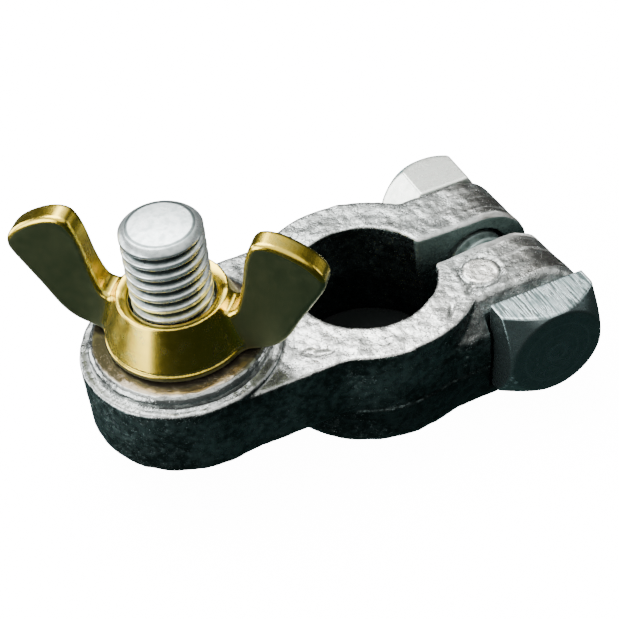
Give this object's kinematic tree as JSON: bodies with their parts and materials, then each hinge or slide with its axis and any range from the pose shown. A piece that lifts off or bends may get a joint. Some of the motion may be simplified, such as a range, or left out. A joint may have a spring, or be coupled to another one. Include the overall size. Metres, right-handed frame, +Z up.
{
  "type": "battery post clamp",
  "caption": "Lead clamp for a tapered battery post, with a threaded stud and wing nut for a cable lug and a pinch bolt that closes the split ring.",
  "frame": {"origin": "under the middle of the bounding box, on the plane of the ring's bottom face", "axes": "+Z up along the post and the stud, +X from the pad towards the ears, -Y towards the pinch bolt's head"},
  "size_m": [0.0634, 0.0358, 0.0333],
  "materials": {
    "lead": "as-cast lead alloy, bright rubbed top, dull dark sides",
    "zinc_plate": "zinc-plated steel",
    "brass": "bright brass"
  },
  "bodies": {
    "clamp": {"clamp_body": "lead", "terminal_stud": "zinc_plate", "pinch_bolt": "zinc_plate"},
    "jaw": {"far_jaw": "lead"},
    "nut": {"pinch_nut": "zinc_plate"},
    "wings": {"wing_nut": "brass"}
  },
  "joints": [
    {"name": "jaw_close", "type": "hinge", "parent": "clamp", "child": "jaw", "pos_m": [0.00373, 0.00732, 0.0149], "axis": [0, 0, -1], "range_deg": [0, 3]},
    {"name": "pinch_nut_turn", "type": "hinge", "parent": "jaw", "child": "nut", "pos_m": [0.02346, 0.00923, 0.00865], "axis": [0, 1, 0], "range_deg": [-270, 0]},
    {"name": "wing_nut_turn", "type": "hinge", "parent": "clamp", "child": "wings", "pos_m": [-0.01689, -0.00088, 0.0174], "axis": [0, 0, 1], "continuous": true}
  ],
  "couplings": [
    {"joint": "pinch_nut_turn", "follows": "jaw_close", "ratio": -87}
  ]
}
